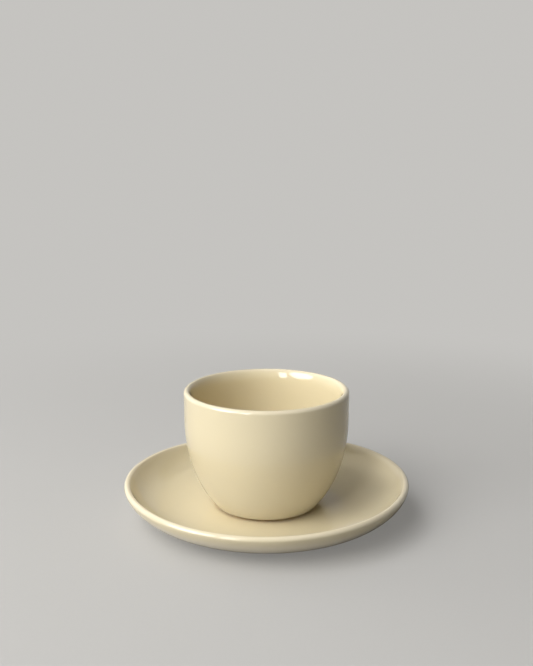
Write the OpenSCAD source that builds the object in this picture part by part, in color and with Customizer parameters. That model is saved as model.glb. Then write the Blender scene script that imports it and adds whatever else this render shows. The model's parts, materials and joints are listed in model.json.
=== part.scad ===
// Handleless cup standing on its coupe saucer, in millimetres, +Z up.
// The origin is the centre of the saucer's foot, on the surface it stands on.
// Each piece is one thrown and glazed body: an even wall between two smooth curves,
// a rounded lip or rim, and a low foot ring round a shallow recess.
// The cup's inner wall eases out towards its lip, so that the lip feels thin to drink from.

/* [Cup] */
// Height of the cup from its foot to its lip
cup_h = 63; // [56:0.5:72]
// Outer diameter at the lip
lip_d = 86.3; // [78:0.1:96]
// Thickness of the wall below the lip's ease
wall_t = 4.4; // [3.2:0.1:6]
// Radius that rounds the lip's outer edge
lip_round_r = 1.75; // [1:0.05:2.5]
// Height over which the inner wall eases out to the lip
lip_ease_h = 7; // [3:0.5:8]
// Thickness of the floor at its centre
floor_t = 4.5; // [3:0.1:7]
// Depth below the lip at which the wall starts to curve in
shoulder_depth = 14; // [9:0.5:20]
// Outer diameter of the bowl at its lower edge
bowl_base_d = 54.8; // [48:0.2:62]
// Radius that rounds the bowl's lower edge
bowl_edge_r = 0.8; // [0.4:0.1:1.2]

/* [Cup foot] */
// Height of the foot ring below the bowl
cup_foot_h = 1.3; // [0.8:0.1:2.5]
// How far the foot ring stands inside the bowl's lower edge
cup_foot_inset = 2.8; // [0.8:0.1:4]
// Width of the foot ring where it stands
cup_foot_w = 3; // [2:0.1:5]
// Depth of the recess inside the foot ring
cup_recess_h = 2; // [1:0.1:3]
// Radius that rounds the foot ring's edges
cup_foot_r = 0.4; // [0.2:0.1:0.6]

/* [Saucer] */
// Height of the saucer from its foot to its rim
saucer_h = 19.5; // [16:0.5:28]
// Outer diameter of the rim
saucer_d = 150; // [136:0.5:166]
// Thickness of the rounded rim
rim_t = 3.4; // [2.6:0.1:4.6]
// Steepness of the dish where it meets the rim, in degrees
dish_slope = 58; // [45:1:75]
// Steepness of the underside where it meets the rim, in degrees
under_slope = 74; // [60:1:85]
// Thickness of the saucer under the flat well
well_t = 3.6; // [3:0.1:5]
// Flat ring of the well left round the cup's foot
well_margin = 11.4; // [4:0.2:14]

/* [Saucer foot] */
// Outer diameter of the foot ring
saucer_foot_d = 91; // [80:0.5:100]
// Width of the foot ring where it stands
saucer_foot_w = 3.5; // [2.5:0.1:5]
// Height of the foot ring below the saucer's underside
saucer_foot_h = 1.8; // [1.2:0.1:3]
// Depth of the recess inside the foot ring
saucer_recess_h = 1.8; // [1:0.1:2.6]
// Radius that rounds the foot ring's edges
saucer_foot_r = 0.6; // [0.3:0.1:0.9]

/* [Hidden] */

glaze = [0.87, 0.82, 0.7];
round_steps = 6;
curve_steps = 22;

// Roundness of the bowl's outline: 2 is an ellipse, more is squarer
bowl_power = 2.15;
// Where the cup's inner wall turns into the floor, as a share of the wall's curve
floor_start_share = 0.75;
// Reach of the floor's curve down from the wall and out from the centre
floor_reach_shares = [0.75, 0.85];
// Reach of the dish's curve down from the rim and out from the well
dish_reach_shares = [0.51, 0.75];
// Reach of the underside's curve down from the rim and out from the foot ring
under_reach_shares = [0.5, 0.51];
// Most of a straight side that one rounded corner may use up
corner_limit_share = 0.45;

lip_r = lip_d / 2;
bowl_base_r = bowl_base_d / 2;
shoulder_z = cup_h - shoulder_depth;
// End of the bowl's curve, counted from 0 at the shoulder
bowl_end = pow(1 - pow(bowl_base_r / lip_r, 2), 1 / bowl_power);
bowl_drop = (shoulder_z - cup_foot_h) / bowl_end;
cup_foot_outer_r = bowl_base_r - cup_foot_inset;
cup_foot_inner_r = cup_foot_outer_r - cup_foot_w;
cup_floor_z = cup_recess_h + floor_t;

rim_r = saucer_d / 2;
well_r = cup_foot_outer_r + well_margin;
well_z = saucer_recess_h + well_t;
saucer_foot_outer_r = saucer_foot_d / 2;
saucer_foot_inner_r = saucer_foot_outer_r - saucer_foot_w;

function unit(v) = v / norm(v);

// Points of an oval arc round centre c, from angle a0 to angle a1, reaching out and up by reach
function oval(c, reach, a0, a1, steps = 2 * round_steps) =
    [for (i = [0 : steps])
        let (a = a0 + (a1 - a0) * i / steps)
        c + [reach[0] * cos(a), reach[1] * sin(a)]];

// Points of a round arc of radius r
function arc(c, r, a0, a1, steps = 2 * round_steps) = oval(c, [r, r], a0, a1, steps);

// Points of a cubic curve from p0 to p3, steered by p1 and p2
function curve(p0, p1, p2, p3, steps = curve_steps) =
    [for (i = [0 : steps])
        let (t = i / steps, s = 1 - t)
        s * s * s * p0 + 3 * s * s * t * p1 + 3 * s * t * t * p2 + t * t * t * p3];

// The corner at b between a and c, rounded to radius r as far as its sides allow
function corner(a, b, c, r) =
    let (
        u = unit(a - b),
        v = unit(c - b),
        half = acos(u * v) / 2,
        limit = corner_limit_share * min(norm(a - b), norm(c - b)),
        run = min(r / tan(half), limit),
        centre = b + unit(u + v) * run / cos(half),
        from = b + u * run - centre,
        a0 = atan2(from[1], from[0]),
        to = b + v * run - centre,
        swing = atan2(to[1], to[0]) - a0,
        turn = swing - 360 * round(swing / 360)
    )
    arc(centre, norm(from), a0, a0 + turn, round_steps);

// Outer wall of the cup at u, from 0 at the shoulder to bowl_end at the lower edge
function bowl_point(u) =
    [lip_r * sqrt(1 - pow(u, bowl_power)), shoulder_z - bowl_drop * u];

// Direction of the outer wall at u, pointing down the wall
function bowl_direction(u) =
    unit([-lip_r * bowl_power * pow(u, bowl_power - 1) / (2 * sqrt(1 - pow(u, bowl_power))),
          -bowl_drop]);

// Inner wall of the cup at u, square to the outer wall
function inner_point(u) =
    let (d = bowl_direction(u))
    bowl_point(u) + wall_t * [d[1], -d[0]];

// Foot ring seen in section, from the recess's ceiling on the axis to the ring's outer top
function foot(inner_r, outer_r, recess_h, ring_h, edge_r, next) =
    let (
        ceiling = [0, recess_h],
        inner_top = [inner_r, recess_h],
        inner_edge = [inner_r, 0],
        outer_edge = [outer_r, 0],
        outer_top = [outer_r, ring_h]
    )
    concat(
        [ceiling],
        corner(ceiling, inner_top, inner_edge, edge_r),
        corner(inner_top, inner_edge, outer_edge, edge_r),
        corner(inner_edge, outer_edge, outer_top, edge_r),
        corner(outer_edge, outer_top, next, edge_r)
    );

function cup_outline() =
    let (
        wall_u = [for (i = [curve_steps - 1 : -1 : 0]) bowl_end * i / curve_steps],
        wall = [for (u = wall_u) bowl_point(u)],
        base = bowl_point(bowl_end),
        foot_top = [cup_foot_outer_r, cup_foot_h],
        lip_centre = [lip_r - lip_round_r, cup_h - lip_round_r],
        ease_centre = [lip_r - lip_round_r, cup_h - lip_ease_h],
        ease = oval(ease_centre, [wall_t - lip_round_r, lip_ease_h], 90, 180),
        inner_end = bowl_end * floor_start_share,
        inner = [for (i = [0 : curve_steps]) inner_point(inner_end * i / curve_steps)],
        floor_start = inner_point(inner_end),
        floor_centre = [0, cup_floor_z],
        floor_dir = bowl_direction(inner_end),
        floor_down = floor_reach_shares[0] * (floor_start[1] - cup_floor_z),
        floor_out = [floor_reach_shares[1] * floor_start[0], 0]
    )
    concat(
        foot(cup_foot_inner_r, cup_foot_outer_r, cup_recess_h, cup_foot_h, cup_foot_r, base),
        corner(foot_top, base, wall[0], bowl_edge_r),
        wall,
        arc(lip_centre, lip_round_r, 0, 90),
        [for (i = [1 : len(ease) - 1]) ease[i]],
        inner,
        curve(floor_start, floor_start + floor_down * floor_dir,
              floor_centre + floor_out, floor_centre)
    );

function saucer_outline() =
    let (
        foot_top = [saucer_foot_outer_r, saucer_foot_h],
        rim_centre = [rim_r - rim_t / 2, saucer_h - rim_t / 2],
        under_turn = under_slope - 90,
        rim_outer = rim_centre + rim_t / 2 * [cos(under_turn), sin(under_turn)],
        dish_turn = 90 + dish_slope,
        rim_inner = rim_centre + rim_t / 2 * [cos(dish_turn), sin(dish_turn)],
        well_edge = [well_r, well_z],
        under_down = under_reach_shares[0] * (rim_outer[1] - saucer_foot_h),
        under_out = [under_reach_shares[1] * (rim_r - saucer_foot_outer_r), 0],
        under = curve(foot_top, foot_top + under_out,
                      rim_outer - under_down * [cos(under_slope), sin(under_slope)], rim_outer),
        dish_down = dish_reach_shares[0] * (rim_inner[1] - well_z),
        dish_out = [dish_reach_shares[1] * (rim_inner[0] - well_r), 0]
    )
    concat(
        foot(saucer_foot_inner_r, saucer_foot_outer_r, saucer_recess_h, saucer_foot_h,
             saucer_foot_r, under[1]),
        [for (i = [1 : curve_steps - 1]) under[i]],
        arc(rim_centre, rim_t / 2, under_turn, dish_turn),
        curve(rim_inner, rim_inner - dish_down * [cos(dish_slope), sin(dish_slope)],
              well_edge + dish_out, well_edge),
        [[0, well_z]]
    );

// Round dish on a low foot ring, with a flat well for the cup
module saucer() {
    color(glaze)
        rotate_extrude($fn = 180)
            polygon(saucer_outline());
}

// Handleless cup, standing with its foot ring on the flat of the saucer's well
module cup() {
    color(glaze)
        translate([0, 0, well_z])
            rotate_extrude($fn = 180)
                polygon(cup_outline());
}

saucer();
cup();
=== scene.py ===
"""Cup and saucer: a handleless cup with a thick rounded lip, standing in a coupe saucer.

Both pieces are turned from an outline. They wear a glossy cream glaze over pale clay, which
shows on their foot rings, and stand on a sheet of pale paper in the light of two windows.
"""

import json
import math

import bmesh
import bpy
from bpy.props import FloatProperty, FloatVectorProperty, IntProperty, PointerProperty
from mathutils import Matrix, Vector, noise

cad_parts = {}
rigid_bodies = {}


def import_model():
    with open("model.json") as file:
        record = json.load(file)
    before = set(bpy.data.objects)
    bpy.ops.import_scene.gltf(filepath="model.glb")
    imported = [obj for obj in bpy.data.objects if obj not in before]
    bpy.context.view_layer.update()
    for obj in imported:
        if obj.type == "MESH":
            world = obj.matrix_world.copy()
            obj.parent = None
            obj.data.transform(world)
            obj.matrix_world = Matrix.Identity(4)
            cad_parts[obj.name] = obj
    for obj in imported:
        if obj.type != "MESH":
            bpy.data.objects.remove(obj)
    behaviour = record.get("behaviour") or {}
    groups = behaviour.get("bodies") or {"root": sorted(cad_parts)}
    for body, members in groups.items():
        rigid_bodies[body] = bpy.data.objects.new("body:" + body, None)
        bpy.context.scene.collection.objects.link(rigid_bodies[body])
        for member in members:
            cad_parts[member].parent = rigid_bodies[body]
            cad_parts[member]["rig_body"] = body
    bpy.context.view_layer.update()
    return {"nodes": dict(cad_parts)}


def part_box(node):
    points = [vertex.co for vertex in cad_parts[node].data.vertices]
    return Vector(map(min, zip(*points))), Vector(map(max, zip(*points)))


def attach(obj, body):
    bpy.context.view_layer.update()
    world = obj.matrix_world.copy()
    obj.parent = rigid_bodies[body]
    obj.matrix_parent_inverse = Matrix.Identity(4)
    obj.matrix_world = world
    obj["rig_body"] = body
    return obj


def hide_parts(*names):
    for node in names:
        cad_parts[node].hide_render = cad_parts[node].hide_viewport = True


bl_info = {
    "name": "Cup and Saucer",
    "version": (1, 0, 0),
    "blender": (4, 5, 0),
    "location": "3D View > Sidebar > Tableware",
    "description": "Turns a glazed cup and its saucer and sets them in window light",
    "category": "Add Mesh",
}

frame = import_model()
CUP_LOW, CUP_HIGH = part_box("cup")
SAUCER_LOW, SAUCER_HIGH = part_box("saucer")

MM = 0.001
# Name of the map that spreads a turned piece's outline over a square
TURNED_MAP = "OFBake"

# Outlines

# Most of a straight side that one rounded corner may use up
CORNER_LIMIT_SHARE = 0.45
# Length of wall that the bowl's lower edge is rounded into, as a share of the wall's curve
LAST_WALL_SHARE = 1 / 22
# Where the cup's inner wall turns into the floor, as a share of the wall's curve
FLOOR_START_SHARE = 0.75
# Reach of the floor's curve down from the wall and out from the centre
FLOOR_REACH_SHARES = (0.75, 0.85)
# Reach of the dish's curve down from the rim and out from the well
DISH_REACH_SHARES = (0.51, 0.75)
# Reach of the underside's curve down from the rim and out from the foot ring
UNDER_REACH_SHARES = (0.50, 0.51)
# Steps along each stretch of an outline
CORNER_STEPS = 6
RECESS_STEPS = 5
UPRIGHT_STEPS = 5
WALL_STEPS = 44
LIP_STEPS = 12
EASE_STEPS = 22
FLOOR_STEPS = 26
UNDER_STEPS = 36
DISH_STEPS = 36
RIM_STEPS = 24
WELL_STEPS = 6

# Straying of a fired form

# Each piece's own place in the noise
SAUCER_SEED = 2.3
CUP_SEED = 5.1
# How quickly the inward and the downward waver change round the circle
INWARD_RATE = 0.9
DIP_RATE = 1.1
# Step in the noise that keeps the downward waver unlike the inward one
DIP_STEP = Vector((7, 3, 1))
# Share of the warp that tilts the rim up to the right
TILT_SHARE = 0.3

# Glaze and clay

# Size of the slow changes in the glaze, of its ripples, and of the clay's grain
DRIFT_SIZE = 28 * MM
RIPPLE_SIZE = 5.5 * MM
GRAIN_SIZE = 0.35 * MM
# Distance between two throwing rings, and how far the drift moves them
RING_GAP = 2.4 * MM
RING_SHIFT = 1.5 * MM
# Depths below the top edge at which the paler colour, from thinner glaze and a painted highlight,
# starts and is full
THIN_GLAZE_AND_HIGHLIGHT_DEPTHS = (2.6 * MM, 0.2 * MM)
# How far the drift moves the start of that paler top edge
THIN_GLAZE_AND_HIGHLIGHT_SHIFT = 2 * MM
# How far a hollow faces up, from 0 to 1, where glaze starts to pool and lies deepest
POOL_FACINGS = (0.1, 0.75)
# Height above the saucer's well and the cup's floor up to which glaze pools
WELL_POOL = 3 * MM
FLOOR_POOL = 16 * MM
# How far the wall faces outward, from -1 to 1, between which the deeper colour painted inside as
# bounce light ends
INSIDE_PAINTED_BOUNCE_FACINGS = (-0.5, -0.1)
# How far the wall faces outward where the colour painted low on the outside, as painted shade on
# the cup and painted light on the saucer's underside, starts and is full
PAINTED_LOW_FACINGS = (0.05, 0.35)
# Heights above the foot between which that painted low colour fades out
SAUCER_PAINTED_LIGHT_FADE = (12 * MM, 16 * MM)
CUP_PAINTED_SHADE_FADE = (6 * MM, 34 * MM)
# Height of the bare clay on each foot
SAUCER_BARE = 0.55 * MM
CUP_BARE = 1.5 * MM
# How far the ripples move the glaze's lower edge, and half the width of that edge
GLAZE_EDGE_SHIFT = 0.5 * MM
GLAZE_EDGE_REACH = 0.06 * MM
# Most of one colour that is laid over another
DRIFT_SHARE = 0.3
POOL_SHARE = 0.2
INSIDE_PAINTED_BOUNCE_SHARE = 0.5
THIN_GLAZE_AND_HIGHLIGHT_SHARE = 0.6
GRAIN_SHARE = 0.5
# Darkest clay, as a share of the clay's colour
DARK_CLAY_SHARE = 0.8
# Roughness that the drift adds to the glaze, and that bare clay adds
DRIFT_ROUGHNESS = 0.02
CLAY_ROUGHNESS = 0.7
# Height of the clay's grain, and of the glaze over the clay
GRAIN_HEIGHT = 0.08 * MM
GLAZE_HEIGHT = 0.09 * MM
GLAZE_IOR = 1.58

# Paper

# Size of the paper's fibres, and their darkest tone as a share of its colour
FIBRE_SIZE = 1.4 * MM
DARK_FIBRE_SHARE = 0.97
# Distances from the pieces between which the paper goes over to an even glow
GLOW_REACH = (0.15, 0.5)
# Radius of the bend where the paper sweeps up, and height of its upright edge above that
SWEEP_BEND = 0.4
SWEEP_RISE = 0.6
SWEEP_SIDES = 96
SWEEP_FLAT_STEPS = 12
SWEEP_BEND_STEPS = 24

# Light

LAMP_DISTANCE = 1.6
# Each soft lamp, which the glaze doesn't mirror: its angles left of the camera and up, its
# width and height, and its glow as a multiple of white
LAMPS = (
    ("window_near", 60, 26, 1.00, 1.16, 3.4),
    ("window_far", 27, 20, 0.38, 1.10, 4.3),
    ("high_left", 45, 45, 1.2, 1.0, 3.8),
    ("ceiling_left", 75, 62, 1.0, 1.0, 1.5),
    ("left_back", 125, 20, 1.4, 0.8, 0.6),
    ("high_back", 135, 50, 1.2, 1.0, 1.2),
)
# The panes hang nearer than the lamps, in front of the paper's upright edge
PANE_DISTANCE = 1.0
# Where a pane starts to brighten and is brightest, as shares of its width from its middle
PANE_RISE_SHARES = (-0.2, 0.1)
# Each pane that only the glaze mirrors: its corners, where many make it round, the rest as
# for a lamp, its colour, and its glow at its far side as a share of that at its near side
PANES = (
    ("pane_near", 48, 60, 26, 0.69, 0.81, 9.0, (1, 1, 1), 1.0),
    ("pane_far", 4, 27, 20, 0.21, 0.69, 9.0, (1, 1, 1), 1.0),
    ("pane_back", 4, 148, 33, 1.36, 1.30, 1.3, (1, 0.9, 0.7), 0.42),
)


class CupSizes(bpy.types.PropertyGroup):
    """Sizes of the cup, which stands in the saucer's well"""

    height: FloatProperty(
        name="Height",
        description="From the foot to the lip",
        default=CUP_HIGH.z - CUP_LOW.z,
        unit="LENGTH",
    )
    lip_radius: FloatProperty(
        name="Lip radius",
        description="Outer radius at the lip",
        default=CUP_HIGH.x,
        unit="LENGTH",
    )
    lip_round: FloatProperty(
        name="Lip rounding",
        description="Radius of the lip's outer edge",
        default=1.75 * MM,
        unit="LENGTH",
    )
    lip_ease: FloatProperty(
        name="Lip ease",
        description="Height over which the inner wall eases out to the lip",
        default=7 * MM,
        unit="LENGTH",
    )
    wall: FloatProperty(
        name="Wall",
        description="Thickness of the wall below the lip's ease",
        default=4.4 * MM,
        unit="LENGTH",
    )
    floor: FloatProperty(
        name="Floor",
        description="Thickness of the floor at its centre",
        default=4.5 * MM,
        unit="LENGTH",
    )
    shoulder_depth: FloatProperty(
        name="Shoulder depth",
        description="Depth below the lip at which the wall starts to curve in",
        default=14 * MM,
        unit="LENGTH",
    )
    base_radius: FloatProperty(
        name="Base radius",
        description="Outer radius of the bowl at its lower edge",
        default=27.4 * MM,
        unit="LENGTH",
    )
    foot_inset: FloatProperty(
        name="Foot inset",
        description="How far the foot ring stands inside the bowl's lower edge",
        default=2.8 * MM,
        unit="LENGTH",
    )
    foot_width: FloatProperty(
        name="Foot width",
        description="Width of the foot ring where it stands",
        default=3.0 * MM,
        unit="LENGTH",
    )
    foot_height: FloatProperty(
        name="Foot height",
        description="Height of the foot ring below the bowl",
        default=1.3 * MM,
        unit="LENGTH",
    )
    recess: FloatProperty(
        name="Recess",
        description="Depth of the recess inside the foot ring",
        default=2.0 * MM,
        unit="LENGTH",
    )
    foot_edge: FloatProperty(
        name="Foot edge",
        description="Radius that rounds the foot ring's edges",
        default=0.4 * MM,
        unit="LENGTH",
    )
    base_edge: FloatProperty(
        name="Base edge",
        description="Radius that rounds the bowl's lower edge",
        default=0.8 * MM,
        unit="LENGTH",
    )
    roundness: FloatProperty(
        name="Roundness",
        description="Roundness of the bowl: 2 is an ellipse, more is squarer",
        default=2.15,
    )


class SaucerSizes(bpy.types.PropertyGroup):
    """Sizes of the saucer, which stands on the paper"""

    height: FloatProperty(
        name="Height",
        description="From the foot to the rim",
        default=SAUCER_HIGH.z - SAUCER_LOW.z,
        unit="LENGTH",
    )
    rim_radius: FloatProperty(
        name="Rim radius",
        description="Outer radius at the rim",
        default=SAUCER_HIGH.x,
        unit="LENGTH",
    )
    rim_thickness: FloatProperty(
        name="Rim thickness",
        description="Thickness of the rounded rim",
        default=3.4 * MM,
        unit="LENGTH",
    )
    well_radius: FloatProperty(
        name="Well radius",
        description="Radius of the flat well that the cup stands in",
        default=36 * MM,
        unit="LENGTH",
    )
    well_height: FloatProperty(
        name="Well height",
        description="Height of the well above the paper",
        default=CUP_LOW.z - SAUCER_LOW.z,
        unit="LENGTH",
    )
    foot_radius: FloatProperty(
        name="Foot radius",
        description="Outer radius of the foot ring",
        default=45.5 * MM,
        unit="LENGTH",
    )
    foot_width: FloatProperty(
        name="Foot width",
        description="Width of the foot ring where it stands",
        default=3.5 * MM,
        unit="LENGTH",
    )
    foot_height: FloatProperty(
        name="Foot height",
        description="Height of the foot ring below the underside",
        default=1.8 * MM,
        unit="LENGTH",
    )
    recess: FloatProperty(
        name="Recess",
        description="Depth of the recess inside the foot ring",
        default=1.8 * MM,
        unit="LENGTH",
    )
    foot_edge: FloatProperty(
        name="Foot edge",
        description="Radius that rounds the foot ring's edges",
        default=0.6 * MM,
        unit="LENGTH",
    )
    dish_slope: FloatProperty(
        name="Dish slope",
        description="Steepness of the dish where it meets the rim",
        default=math.radians(58),
        subtype="ANGLE",
    )
    under_slope: FloatProperty(
        name="Underside slope",
        description="Steepness of the underside where it meets the rim",
        default=math.radians(74),
        subtype="ANGLE",
    )


class Finish(bpy.types.PropertyGroup):
    """Colours and surface of the glaze and the clay under it"""

    cream: FloatVectorProperty(
        name="Glaze",
        description="Colour of the glaze at its usual thickness",
        default=(0.715, 0.63, 0.433),
        subtype="COLOR",
        size=3,
        min=0,
        max=1,
    )
    # Paler at the lip and rim: partly thinner glaze, partly a painted highlight. Also painted as
    # light on the saucer's underside
    thin_glaze_and_painted_light: FloatVectorProperty(
        name="Thin glaze",
        description="Colour where the glaze runs thin over the lip and rim",
        default=(0.81, 0.73, 0.56),
        subtype="COLOR",
        size=3,
        min=0,
        max=1,
    )
    # Deeper glaze where it pools; also painted inside the cup as warm bounce light
    deep_glaze_and_painted_bounce: FloatVectorProperty(
        name="Deep glaze",
        description="Colour where the glaze lies thick, inside the cup and in a hollow",
        default=(0.74, 0.638, 0.41),
        subtype="COLOR",
        size=3,
        min=0,
        max=1,
    )
    # Painted shade, darker and cooler low on the cup's outside
    painted_low_shade: FloatVectorProperty(
        name="Painted low shade",
        description="Colour low on the cup's outside, where the glaze drained off",
        default=(0.65, 0.592, 0.445),
        subtype="COLOR",
        size=3,
        min=0,
        max=1,
    )
    clay: FloatVectorProperty(
        name="Clay",
        description="Colour of the bare clay on the foot rings",
        default=(0.55, 0.39, 0.21),
        subtype="COLOR",
        size=3,
        min=0,
        max=1,
    )
    gloss: FloatProperty(
        name="Glaze roughness",
        description="Roughness of the glaze where it is smoothest",
        default=0.012,
        min=0,
        max=1,
    )
    ripple: FloatProperty(
        name="Ripple",
        description="Height of the glaze's slow ripples",
        default=0.016 * MM,
        unit="LENGTH",
    )
    rings: FloatProperty(
        name="Throwing rings",
        description="Height of the faint rings left by the potter's fingers",
        default=0.014 * MM,
        unit="LENGTH",
    )
    waver: FloatProperty(
        name="Waver",
        description="How far a rim or a lip strays from its true circle",
        default=0.12 * MM,
        unit="LENGTH",
    )
    warp: FloatProperty(
        name="Warp",
        description="How far the saucer's rim bends up at the sides and down in front",
        default=0.65 * MM,
        unit="LENGTH",
    )
    segments: IntProperty(
        name="Segments",
        description="Sides of a turned piece",
        default=256,
        min=32,
    )


class StageLook(bpy.types.PropertyGroup):
    """Paper, lamps and camera"""

    paper: FloatVectorProperty(
        name="Paper",
        description="Colour of the sheet of paper as it is seen",
        default=(0.54, 0.53, 0.51),
        subtype="COLOR",
        size=3,
        min=0,
        max=1,
    )
    bounce: FloatVectorProperty(
        name="Paper's bounce",
        description="Colour of the light that the paper throws back on the pieces",
        default=(0.28, 0.27, 0.25),
        subtype="COLOR",
        size=3,
        min=0,
        max=1,
    )
    flat_radius: FloatProperty(
        name="Flat radius",
        description="Radius of the paper's flat middle, before it sweeps up all round",
        default=1.1,
        unit="LENGTH",
    )
    camera_distance: FloatProperty(
        name="Camera distance",
        description="From the pieces' axis to the camera, along the paper",
        default=0.446,
        unit="LENGTH",
    )
    camera_height: FloatProperty(
        name="Camera height",
        description="Height of the camera above the paper",
        default=0.1905,
        unit="LENGTH",
    )
    camera_dip: FloatProperty(
        name="Camera dip",
        description="How far the camera looks down",
        default=math.radians(11.76),
        subtype="ANGLE",
    )
    camera_lens: FloatProperty(
        name="Camera lens",
        description="Focal length in millimetres on a sensor 36 mm high",
        default=47.84,
    )
    room_light: FloatProperty(
        name="Room light",
        description="Brightness of the even light of the room",
        default=0.05,
        min=0,
    )
    fill: FloatProperty(
        name="Shadow fill",
        description="How much the shadow on the paper is lightened for the camera",
        default=0.3,
        min=0,
        max=1,
    )
    backdrop: FloatProperty(
        name="Backdrop",
        description="How bright the paper looks where it sweeps up, as a multiple of its colour",
        default=1.05,
        min=0,
    )


# Section outlines

def arc(centre, radii, start, end, steps):
    """Points of an upright elliptical arc, between two angles in degrees."""
    angles = [math.radians(start + (end - start) * i / steps) for i in range(steps + 1)]
    return [centre + Vector((radii[0] * math.cos(a), radii[1] * math.sin(a))) for a in angles]


def cubic(p0, p1, p2, p3, steps):
    """Points of a cubic curve from p0 to p3, steered by p1 and p2."""
    points = []
    for i in range(steps + 1):
        t = i / steps
        s = 1 - t
        points.append(s**3 * p0 + 3 * s * s * t * p1 + 3 * s * t * t * p2 + t**3 * p3)
    return points


def rounded(before, point, after, radius):
    """The corner at a point, rounded as far as its two sides allow."""
    u = (before - point).normalized()
    v = (after - point).normalized()
    half = math.acos(u.dot(v)) / 2
    limit = CORNER_LIMIT_SHARE * min((before - point).length, (after - point).length)
    run = min(radius / math.tan(half), limit)
    centre = point + (u + v).normalized() * run / math.cos(half)
    first = point + u * run - centre
    last = point + v * run - centre
    start = math.degrees(math.atan2(first.y, first.x))
    swing = math.degrees(math.atan2(last.y, last.x)) - start
    turn = swing - 360 * round(swing / 360)
    return arc(centre, (first.length, first.length), start, start + turn, CORNER_STEPS)


def foot_ring(inner, outer, recess, height, edge, following):
    """The underside from its centre to the top of the foot ring's outer side."""
    centre = Vector((0, recess))
    inner_top = Vector((inner, recess))
    inner_edge = Vector((inner, 0))
    outer_edge = Vector((outer, 0))
    outer_top = Vector((outer, height))
    return (
        spread(centre, inner_top, RECESS_STEPS)
        + rounded(centre, inner_top, inner_edge, edge)
        + rounded(inner_top, inner_edge, outer_edge, edge)
        + rounded(inner_edge, outer_edge, outer_top, edge)
        + rounded(outer_edge, outer_top, following, edge)
    )


def spread(start, end, steps):
    """Points from a start to just before an end, evenly spread."""
    return [start.lerp(end, i / steps) for i in range(steps)]


def cup_outline(cup):
    """Section of the cup from the middle of its recess round the lip to its floor."""
    shoulder = cup.height - cup.shoulder_depth
    end = (1 - (cup.base_radius / cup.lip_radius) ** 2) ** (1 / cup.roundness)
    drop = (shoulder - cup.foot_height) / end

    def wall(u):
        return Vector((cup.lip_radius * math.sqrt(1 - u**cup.roundness), shoulder - drop * u))

    def down(u):
        lean = -cup.lip_radius * cup.roundness * u ** (cup.roundness - 1)
        return Vector((lean / (2 * math.sqrt(1 - u**cup.roundness)), -drop)).normalized()

    def inside(u):
        way = down(u)
        return wall(u) + cup.wall * Vector((way.y, -way.x))

    outer_wall = [wall(end * i / WALL_STEPS) for i in range(WALL_STEPS - 1, -1, -1)]
    foot_outer = cup.base_radius - cup.foot_inset
    foot_top = Vector((foot_outer, cup.foot_height))
    base = wall(end)
    lip_top = cup.height - cup.lip_round
    upright = spread(
        Vector((cup.lip_radius, shoulder)), Vector((cup.lip_radius, lip_top)), UPRIGHT_STEPS
    )
    ease_reach = cup.wall - cup.lip_round
    apex = Vector((cup.lip_radius - cup.lip_round, lip_top))
    ease_centre = Vector((cup.lip_radius - cup.lip_round, cup.height - cup.lip_ease))
    inner_end = end * FLOOR_START_SHARE
    inner_wall = [inside(inner_end * i / WALL_STEPS) for i in range(WALL_STEPS + 1)]
    floor_z = cup.recess + cup.floor
    turn_in = inner_wall[-1]
    centre = Vector((0, floor_z))
    reach_down, reach_out = FLOOR_REACH_SHARES
    floor = cubic(
        turn_in,
        turn_in + reach_down * (turn_in.y - floor_z) * down(inner_end),
        centre + Vector((reach_out * turn_in.x, 0)),
        centre,
        FLOOR_STEPS,
    )
    return (
        foot_ring(
            foot_outer - cup.foot_width,
            foot_outer,
            cup.recess,
            cup.foot_height,
            cup.foot_edge,
            base,
        )
        + rounded(foot_top, base, wall(end * (1 - LAST_WALL_SHARE)), cup.base_edge)
        + outer_wall
        + upright[1:]
        + arc(apex, (cup.lip_round, cup.lip_round), 0, 90, LIP_STEPS)
        + arc(ease_centre, (ease_reach, cup.lip_ease), 90, 180, EASE_STEPS)[1:]
        + inner_wall
        + floor[1:]
    )


def saucer_outline(saucer):
    """Section of the saucer from the middle of its recess round the rim to its well."""
    half = saucer.rim_thickness / 2
    rim = Vector((saucer.rim_radius - half, saucer.height - half))
    under_way = Vector((math.cos(saucer.under_slope), math.sin(saucer.under_slope)))
    dish_way = Vector((math.cos(saucer.dish_slope), math.sin(saucer.dish_slope)))
    rim_outer = rim + half * Vector((under_way.y, -under_way.x))
    rim_inner = rim + half * Vector((-dish_way.y, dish_way.x))
    foot_top = Vector((saucer.foot_radius, saucer.foot_height))
    well_edge = Vector((saucer.well_radius, saucer.well_height))
    reach_down, reach_out = UNDER_REACH_SHARES
    underside = cubic(
        foot_top,
        foot_top + Vector((reach_out * (saucer.rim_radius - saucer.foot_radius), 0)),
        rim_outer - reach_down * (rim_outer.y - saucer.foot_height) * under_way,
        rim_outer,
        UNDER_STEPS,
    )
    reach_down, reach_out = DISH_REACH_SHARES
    dish = cubic(
        rim_inner,
        rim_inner - reach_down * (rim_inner.y - saucer.well_height) * dish_way,
        well_edge + Vector((reach_out * (rim_inner.x - saucer.well_radius), 0)),
        well_edge,
        DISH_STEPS,
    )
    return (
        foot_ring(
            saucer.foot_radius - saucer.foot_width,
            saucer.foot_radius,
            saucer.recess,
            saucer.foot_height,
            saucer.foot_edge,
            underside[1],
        )
        + underside[1:-1]
        + arc(
            rim,
            (half, half),
            math.degrees(saucer.under_slope) - 90,
            math.degrees(saucer.dish_slope) + 90,
            RIM_STEPS,
        )
        + dish[1:]
        + spread(well_edge, Vector((0, saucer.well_height)), WELL_STEPS)[1:]
        + [Vector((0, saucer.well_height))]
    )


# Turned pieces

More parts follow.
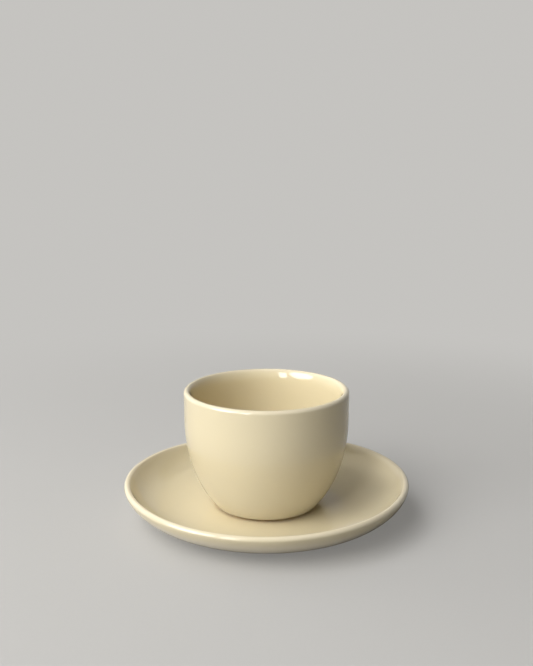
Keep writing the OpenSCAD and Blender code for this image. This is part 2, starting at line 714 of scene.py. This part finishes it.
def turn(name, outline, segments, strayed):
    """A closed mesh, made by turning an outline whose two ends lie on the axis.

    strayed(radius, height, angle) moves a point of the true form to where it lies.
    """
    form = bmesh.new()
    unrolled = form.loops.layers.uv.new(TURNED_MAP)
    angles = [math.tau * i / segments for i in range(segments)]
    run = [0.0]
    for here, there in zip(outline, outline[1:]):
        run.append(run[-1] + (there - here).length)
    share = [length / run[-1] for length in run]

    rings = []
    for point in outline[1:-1]:
        rings.append([form.verts.new(strayed(point.x, point.y, a)) for a in angles])
    ends = [form.verts.new(strayed(0, outline[i].y, 0)) for i in (0, -1)]

    def add(corners, spots):
        face = form.faces.new(corners)
        face.smooth = True
        for loop, spot in zip(face.loops, spots):
            loop[unrolled].uv = spot

    for i in range(segments):
        j = (i + 1) % segments
        left, right = i / segments, (i + 1) / segments
        middle = (left + right) / 2
        add(
            (ends[0], rings[0][j], rings[0][i]),
            ((middle, share[0]), (right, share[1]), (left, share[1])),
        )
        for k in range(len(rings) - 1):
            add(
                (rings[k][i], rings[k][j], rings[k + 1][j], rings[k + 1][i]),
                (
                    (left, share[k + 1]),
                    (right, share[k + 1]),
                    (right, share[k + 2]),
                    (left, share[k + 2]),
                ),
            )
        add(
            (rings[-1][i], rings[-1][j], ends[1]),
            ((left, share[-2]), (right, share[-2]), (middle, share[-1])),
        )

    mesh = bpy.data.meshes.new(name)
    form.to_mesh(mesh)
    form.free()
    piece = bpy.data.objects.new(name, mesh)
    bpy.context.scene.collection.objects.link(piece)
    return piece


def settle(piece, node):
    """Puts a piece on its node's body, in the node's place, and hides the node."""
    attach(piece, frame["nodes"][node]["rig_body"])
    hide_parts(node)


def unevenness(place):
    """Smooth noise from 0 to 1."""
    return noise.noise(place) * 0.5 + 0.5


def straying(base_z, waver, warp, top_height, top_radius, seed):
    """How a fired form strays from its true circles, most at its top.

    It wavers inward and down a little. warp is how far it bends into a saddle, with its
    left and right up, and its front and back down.
    """

    def strayed(radius, height, angle):
        share = max(0.0, min(1.0, height / top_height)) ** 2
        around = Vector((math.cos(angle), math.sin(angle), seed))
        inward = unevenness(around * INWARD_RATE)
        dip = unevenness(around * DIP_RATE + DIP_STEP)
        r = radius - radius * share * waver * inward / top_radius
        z = base_z + height - share * waver * dip
        z += share * warp * (math.cos(2 * angle) + TILT_SHARE * math.cos(angle))
        return (r * math.cos(angle), r * math.sin(angle), z)

    return strayed


# Shader nodes

class Number:
    """A number that a node gives out. Arithmetic on it adds Math nodes to its tree."""

    def __init__(self, tree, socket):
        self.tree = tree
        self.socket = socket

    def combined(self, operation, first, second):
        return self.tree.number("ShaderNodeMath", {"operation": operation}, {0: first, 1: second})

    def __add__(self, other):
        return self.combined("ADD", self, other)

    def __radd__(self, other):
        return self.combined("ADD", other, self)

    def __sub__(self, other):
        return self.combined("SUBTRACT", self, other)

    def __rsub__(self, other):
        return self.combined("SUBTRACT", other, self)

    def __mul__(self, other):
        return self.combined("MULTIPLY", self, other)

    def __rmul__(self, other):
        return self.combined("MULTIPLY", other, self)


class Tree:
    """The nodes of a material or a world."""

    def __init__(self, owner):
        owner.use_nodes = True
        self.made = owner.node_tree
        self.made.nodes.clear()

    def node(self, kind, settings=None, inputs=None):
        """A node of a kind, with its settings, and a value or a link for each socket."""
        made = self.made.nodes.new(kind)
        for name, value in (settings or {}).items():
            setattr(made, name, value)
        for key, value in (inputs or {}).items():
            socket = self.socket(made.inputs, key)
            if isinstance(value, Number):
                value = value.socket
            if isinstance(value, bpy.types.NodeSocket):
                self.made.links.new(value, socket)
            else:
                socket.default_value = value
        return made

    def socket(self, sockets, key):
        """The socket with that number, identifier or name."""
        if isinstance(key, int):
            return sockets[key]
        return next((s for s in sockets if s.identifier == key), None) or sockets[key]

    def number(self, kind, settings=None, inputs=None, output=0):
        """A node as node() makes it, as the number that it gives out."""
        made = self.node(kind, settings, inputs)
        return Number(self, self.socket(made.outputs, output))

    def blend(self, share, first, second):
        """A colour between two others, the second where share is 1."""
        made = self.node(
            "ShaderNodeMix",
            {"data_type": "RGBA"},
            {"Factor_Float": share, "A_Color": first, "B_Color": second},
        )
        return self.socket(made.outputs, "Result_Color")

    def clouds(self, place, size, detail=2.0, roughness=0.5):
        """Soft clouds from 0 to 1, about as large as size."""
        return self.number(
            "ShaderNodeTexNoise",
            {"noise_dimensions": "3D"},
            {
                "Vector": place,
                "Scale": 1 / size,
                "Detail": detail,
                "Roughness": roughness,
            },
            "Fac",
        )

    def largest(self, first, second):
        """The larger of two numbers."""
        return self.number("ShaderNodeMath", {"operation": "MAXIMUM"}, {0: first, 1: second})

    def rise(self, value, low, high):
        """0 below low, 1 above high, and smooth between them."""
        return self.number(
            "ShaderNodeMapRange",
            {"interpolation_type": "SMOOTHSTEP"},
            {"Value": value, "From Min": low, "From Max": high},
        )


def solid(colour):
    """A colour with full alpha."""
    return (*colour, 1)


def glazed(name, finish, box, bare, pool, inside, low, fade):
    """Glossy cream glaze, paler at the top edge from thinner glaze and a painted highlight, deeper
    in a hollow, and bare clay on the foot.

    The heights are in the piece's own coordinates, so the finish travels with the piece.
    box is the piece's two corners, bare how far up from its foot the clay is bare, and pool the
    heights between which a pool of glaze gets shallow. inside is the share of a deeper, warmer
    colour painted as bounce light on the side that faces the axis. low is a colour painted low on
    the outside, as painted shade on the cup and painted light on the saucer's underside, and fade
    the heights above the foot between which that colour fades out.
    """
    foot_z, top_z = box[0].z, box[1].z
    material = bpy.data.materials.new(name)
    tree = Tree(material)
    place = tree.node("ShaderNodeTexCoord").outputs["Object"]
    height = tree.number("ShaderNodeSeparateXYZ", None, {0: place}, "Z")
    facing = tree.node("ShaderNodeTexCoord").outputs["Normal"]
    up = tree.number("ShaderNodeSeparateXYZ", None, {0: facing}, "Z")
    # 1 where the surface faces straight out at its widest, and less nearer to the axis
    level = tree.node(
        "ShaderNodeVectorMath", {"operation": "MULTIPLY"}, {0: place, 1: (1, 1, 0)}
    ).outputs[0]
    outward = tree.number(
        "ShaderNodeVectorMath", {"operation": "DOT_PRODUCT"}, {0: level, 1: facing}, "Value"
    ) * (1 / box[1].x)

    drift = tree.clouds(place, DRIFT_SIZE)
    ripple = tree.clouds(place, RIPPLE_SIZE, detail=1.0)
    grain = tree.clouds(place, GRAIN_SIZE, detail=3.0, roughness=0.65)

    # The top edge is paler: thinner glaze and a painted highlight
    thin_glaze_and_painted_light = tree.rise(
        height + (drift - 0.5) * THIN_GLAZE_AND_HIGHLIGHT_SHIFT, top_z - THIN_GLAZE_AND_HIGHLIGHT_DEPTHS[0], top_z - THIN_GLAZE_AND_HIGHLIGHT_DEPTHS[1]
    )
    hollow = tree.rise(up, *POOL_FACINGS) * (1 - tree.rise(height, *pool))
    glaze_line = foot_z + bare
    unglazed = 1 - tree.rise(
        height + (ripple - 0.5) * GLAZE_EDGE_SHIFT,
        glaze_line - GLAZE_EDGE_REACH,
        glaze_line + GLAZE_EDGE_REACH,
    )

    colour = tree.blend(drift * DRIFT_SHARE, solid(finish.cream), solid(finish.deep_glaze_and_painted_bounce))
    colour = tree.blend(hollow * POOL_SHARE, colour, solid(finish.deep_glaze_and_painted_bounce))
    # Painted bounce light: a deeper, warmer colour on the walls that face the axis
    within = 1 - tree.rise(outward, *INSIDE_PAINTED_BOUNCE_FACINGS)
    colour = tree.blend(within * inside, colour, solid(finish.deep_glaze_and_painted_bounce))
    # Painted low band outside: painted shade on the cup, painted light on the saucer's underside
    below = 1 - tree.rise(height, foot_z + fade[0], foot_z + fade[1])
    outside = tree.rise(outward, *PAINTED_LOW_FACINGS)
    colour = tree.blend(outside * below, colour, solid(low))
    # Paler top edge: thinner glaze and a painted highlight
    colour = tree.blend(thin_glaze_and_painted_light * THIN_GLAZE_AND_HIGHLIGHT_SHARE, colour, solid(finish.thin_glaze_and_painted_light))
    dark_clay = [c * DARK_CLAY_SHARE for c in finish.clay]
    clay = tree.blend(grain * GRAIN_SHARE, solid(finish.clay), solid(dark_clay))
    colour = tree.blend(unglazed, colour, clay)

    roughness = finish.gloss + drift * DRIFT_ROUGHNESS + unglazed * CLAY_ROUGHNESS
    rings = tree.number(
        "ShaderNodeTexNoise",
        {"noise_dimensions": "1D"},
        {"W": height + drift * RING_SHIFT, "Scale": 1 / RING_GAP, "Detail": 1.0},
        "Fac",
    )
    surface = ripple * finish.ripple + rings * finish.rings
    surface = surface + grain * unglazed * GRAIN_HEIGHT + (1 - unglazed) * GLAZE_HEIGHT
    bump = tree.node("ShaderNodeBump", None, {"Strength": 1.0, "Distance": 1.0, "Height": surface})
    shader = tree.node(
        "ShaderNodeBsdfPrincipled",
        None,
        {
            "Base Color": colour,
            "Roughness": roughness,
            "Normal": bump.outputs[0],
            "IOR": GLAZE_IOR,
        },
    )
    tree.node("ShaderNodeOutputMaterial", None, {"Surface": shader.outputs[0]})
    return material


def paper(look):
    """Pale paper with a faint grain. It looks pale and throws back a deeper colour.

    Far from the pieces it glows evenly for the eye, so that no lamp leaves a gradient on
    it. Near them a share of that glow lightens their shadow for the camera.
    """
    material = bpy.data.materials.new("pale_paper")
    tree = Tree(material)
    place = tree.node("ShaderNodeTexCoord").outputs["Object"]
    fibre = tree.clouds(place, FIBRE_SIZE, detail=3.0)
    dark_fibre = [c * DARK_FIBRE_SHARE for c in look.paper]
    seen = tree.blend(fibre, solid(dark_fibre), solid(look.paper))
    path = tree.node("ShaderNodeLightPath").outputs
    direct = tree.largest(path["Is Camera Ray"], path["Is Glossy Ray"])
    direct = tree.largest(direct, path["Is Transmission Ray"])
    away = tree.number("ShaderNodeVectorMath", {"operation": "LENGTH"}, {0: place}, "Value")
    thrown = tree.node("ShaderNodeBsdfDiffuse", None, {"Color": solid(look.bounce)})
    near = tree.node("ShaderNodeBsdfDiffuse", None, {"Color": seen})
    far = tree.node("ShaderNodeEmission", None, {"Color": seen, "Strength": look.backdrop})
    filled = Number(tree, path["Is Camera Ray"]) * look.fill
    shown = tree.node(
        "ShaderNodeMixShader",
        None,
        {
            0: filled + (1 - filled) * tree.rise(away, *GLOW_REACH),
            1: near.outputs[0],
            2: far.outputs[0],
        },
    )
    mixed = tree.node(
        "ShaderNodeMixShader",
        None,
        {0: direct, 1: thrown.outputs[0], 2: shown.outputs[0]},
    )
    tree.node("ShaderNodeOutputMaterial", None, {"Surface": mixed.outputs[0]})
    return material


# Stage

def sweep(look):
    """A round sheet of paper, flat in the middle and swept up all round."""
    flat = look.flat_radius
    outline = spread(Vector((0, 0)), Vector((flat, 0)), SWEEP_FLAT_STEPS)
    bend_centre = Vector((flat, SWEEP_BEND))
    outline += arc(bend_centre, (SWEEP_BEND, SWEEP_BEND), -90, 0, SWEEP_BEND_STEPS)
    outline.append(Vector((flat + SWEEP_BEND, SWEEP_BEND + SWEEP_RISE)))
    angles = [math.tau * i / SWEEP_SIDES for i in range(SWEEP_SIDES)]
    form = bmesh.new()
    middle = form.verts.new((0, 0, 0))
    rings = [
        [form.verts.new((p.x * math.cos(a), p.x * math.sin(a), p.y)) for a in angles]
        for p in outline[1:]
    ]
    for i in range(SWEEP_SIDES):
        j = (i + 1) % SWEEP_SIDES
        form.faces.new((middle, rings[0][i], rings[0][j]))
        for inner, outer in zip(rings, rings[1:]):
            form.faces.new((inner[i], outer[i], outer[j], inner[j]))
    for face in form.faces:
        face.smooth = True
    mesh = bpy.data.meshes.new("paper_sweep")
    form.to_mesh(mesh)
    form.free()
    mesh.materials.append(paper(look))
    piece = bpy.data.objects.new("paper_sweep", mesh)
    piece.visible_shadow = False
    bpy.context.scene.collection.objects.link(piece)


def hang(holder, azimuth, elevation, distance):
    """Hangs a lamp or a pane at an angle left of the camera, facing the pieces."""
    a, e = math.radians(azimuth), math.radians(elevation)
    away = Vector((-math.sin(a) * math.cos(e), -math.cos(a) * math.cos(e), math.sin(e)))
    holder.location = away * distance
    holder.rotation_euler = away.to_track_quat("Z", "Y").to_euler()
    holder.visible_camera = False
    bpy.context.scene.collection.objects.link(holder)


def lamp(name, azimuth, elevation, width, height, glow):
    """A soft rectangular light that the glaze doesn't mirror."""
    light = bpy.data.lights.new(name, "AREA")
    light.shape = "RECTANGLE"
    light.size = width
    light.size_y = height
    light.energy = glow * math.pi * width * height
    # Traced from the lamp alone: part of the light would be lost on bounces that can't see it
    light.cycles.use_multiple_importance_sampling = False
    holder = bpy.data.objects.new(name, light)
    hang(holder, azimuth, elevation, LAMP_DISTANCE)
    holder.visible_glossy = False


def pane(name, corners, azimuth, elevation, width, height, glow, tint, far_share):
    """A bright pane that only the glaze mirrors. It dims away from the camera's side."""
    turns = [math.tau * (i + 0.5) / corners for i in range(corners)]
    reach = math.cos(math.pi / corners)
    mesh = bpy.data.meshes.new(name)
    mesh.from_pydata(
        [
            (math.cos(t) * width / 2 / reach, math.sin(t) * height / 2 / reach, 0)
            for t in turns
        ],
        [],
        [range(corners)],
    )
    material = bpy.data.materials.new(name)
    tree = Tree(material)
    place = tree.node("ShaderNodeTexCoord").outputs["Object"]
    across = tree.number("ShaderNodeSeparateXYZ", None, {0: place}, "X")
    colour = tree.blend(
        tree.rise(across, width * PANE_RISE_SHARES[0], width * PANE_RISE_SHARES[1]),
        solid([far_share * c for c in tint]),
        solid(tint),
    )
    shine = tree.node("ShaderNodeEmission", None, {"Color": colour, "Strength": glow})
    tree.node("ShaderNodeOutputMaterial", None, {"Surface": shine.outputs[0]})
    mesh.materials.append(material)
    holder = bpy.data.objects.new(name, mesh)
    hang(holder, azimuth, elevation, PANE_DISTANCE)
    holder.visible_diffuse = False
    holder.visible_transmission = False
    holder.visible_shadow = False


def camera(look):
    """The camera, in front of the pieces and looking a little down on them."""
    view = bpy.data.cameras.new("camera")
    view.lens = look.camera_lens
    view.clip_start = 0.01
    view.clip_end = 10
    holder = bpy.data.objects.new("camera", view)
    holder.location = (0, -look.camera_distance, look.camera_height)
    holder.rotation_euler = (math.pi / 2 - look.camera_dip, 0, 0)
    bpy.context.scene.collection.objects.link(holder)
    bpy.context.scene.camera = holder


class MakeSaucer(bpy.types.Operator):
    """Turn and glaze the saucer"""

    bl_idname = "tableware.make_saucer"
    bl_label = "Saucer"

    def execute(self, context):
        saucer = context.scene.saucer_sizes
        finish = context.scene.glaze_finish
        strayed = straying(
            SAUCER_LOW.z,
            finish.waver,
            finish.warp,
            saucer.height,
            saucer.rim_radius,
            SAUCER_SEED,
        )
        piece = turn("saucer_glazed", saucer_outline(saucer), finish.segments, strayed)
        piece.data.materials.append(
            glazed(
                "saucer_glaze",
                finish,
                box=(SAUCER_LOW, SAUCER_HIGH),
                bare=SAUCER_BARE,
                pool=(CUP_LOW.z, CUP_LOW.z + WELL_POOL),
                inside=0,
                # Painted light: this paler colour lifts the saucer's underside
                low=finish.thin_glaze_and_painted_light,
                fade=SAUCER_PAINTED_LIGHT_FADE,
            )
        )
        settle(piece, "saucer")
        return {"FINISHED"}


class MakeCup(bpy.types.Operator):
    """Turn and glaze the cup"""

    bl_idname = "tableware.make_cup"
    bl_label = "Cup"

    def execute(self, context):
        cup = context.scene.cup_sizes
        finish = context.scene.glaze_finish
        floor_z = CUP_LOW.z + cup.recess + cup.floor
        strayed = straying(CUP_LOW.z, finish.waver, 0, cup.height, cup.lip_radius, CUP_SEED)
        piece = turn("cup_glazed", cup_outline(cup), finish.segments, strayed)
        piece.data.materials.append(
            glazed(
                "cup_glaze",
                finish,
                box=(CUP_LOW, CUP_HIGH),
                bare=CUP_BARE,
                pool=(floor_z, floor_z + FLOOR_POOL),
                # Painted bounce light deepens the colour inside the cup
                inside=INSIDE_PAINTED_BOUNCE_SHARE,
                # Painted shade darkens and cools the cup low on its outside
                low=finish.painted_low_shade,
                fade=CUP_PAINTED_SHADE_FADE,
            )
        )
        settle(piece, "cup")
        return {"FINISHED"}


class SetStage(bpy.types.Operator):
    """Lay the paper, hang the lamps and place the camera"""

    bl_idname = "tableware.set_stage"
    bl_label = "Stage"

    def execute(self, context):
        look = context.scene.stage_look
        sweep(look)
        for soft in LAMPS:
            lamp(*soft)
        for mirrored in PANES:
            pane(*mirrored)
        world = bpy.data.worlds.new("room_light")
        context.scene.world = world
        tree = Tree(world)
        sky = tree.node(
            "ShaderNodeBackground", None, {"Color": (1, 1, 1, 1), "Strength": look.room_light}
        )
        tree.node("ShaderNodeOutputWorld", None, {"Surface": sky.outputs[0]})
        camera(look)
        context.scene.view_settings.view_transform = "Standard"
        return {"FINISHED"}


class TablewarePanel(bpy.types.Panel):
    """Sizes, glaze and stage of the cup and saucer"""

    bl_label = "Cup and Saucer"
    bl_idname = "VIEW3D_PT_cup_and_saucer"
    bl_space_type = "VIEW_3D"
    bl_region_type = "UI"
    bl_category = "Tableware"

    def draw(self, context):
        layout = self.layout
        for operator, groups in PANEL_ROWS:
            layout.operator(operator.bl_idname)
            for group in groups:
                column = layout.column()
                for name in SETTINGS[group].__annotations__:
                    column.prop(getattr(context.scene, group), name)


SETTINGS = {
    "cup_sizes": CupSizes,
    "saucer_sizes": SaucerSizes,
    "glaze_finish": Finish,
    "stage_look": StageLook,
}
OPERATORS = (MakeSaucer, MakeCup, SetStage)
PANEL_ROWS = (
    (MakeSaucer, ("saucer_sizes", "glaze_finish")),
    (MakeCup, ("cup_sizes",)),
    (SetStage, ("stage_look",)),
)
CLASSES = (*SETTINGS.values(), *OPERATORS, TablewarePanel)


def register():
    """Adds the classes and their settings to Blender."""
    for kind in CLASSES:
        bpy.utils.register_class(kind)
    for name, kind in SETTINGS.items():
        setattr(bpy.types.Scene, name, PointerProperty(type=kind))


def unregister():
    """Takes the classes and their settings out again."""
    for name in SETTINGS:
        delattr(bpy.types.Scene, name)
    for kind in reversed(CLASSES):
        bpy.utils.unregister_class(kind)


def main():
    """Builds both pieces and the stage."""
    register()
    bpy.ops.tableware.make_saucer()
    bpy.ops.tableware.make_cup()
    bpy.ops.tableware.set_stage()


if __name__ == "__main__":
    main()
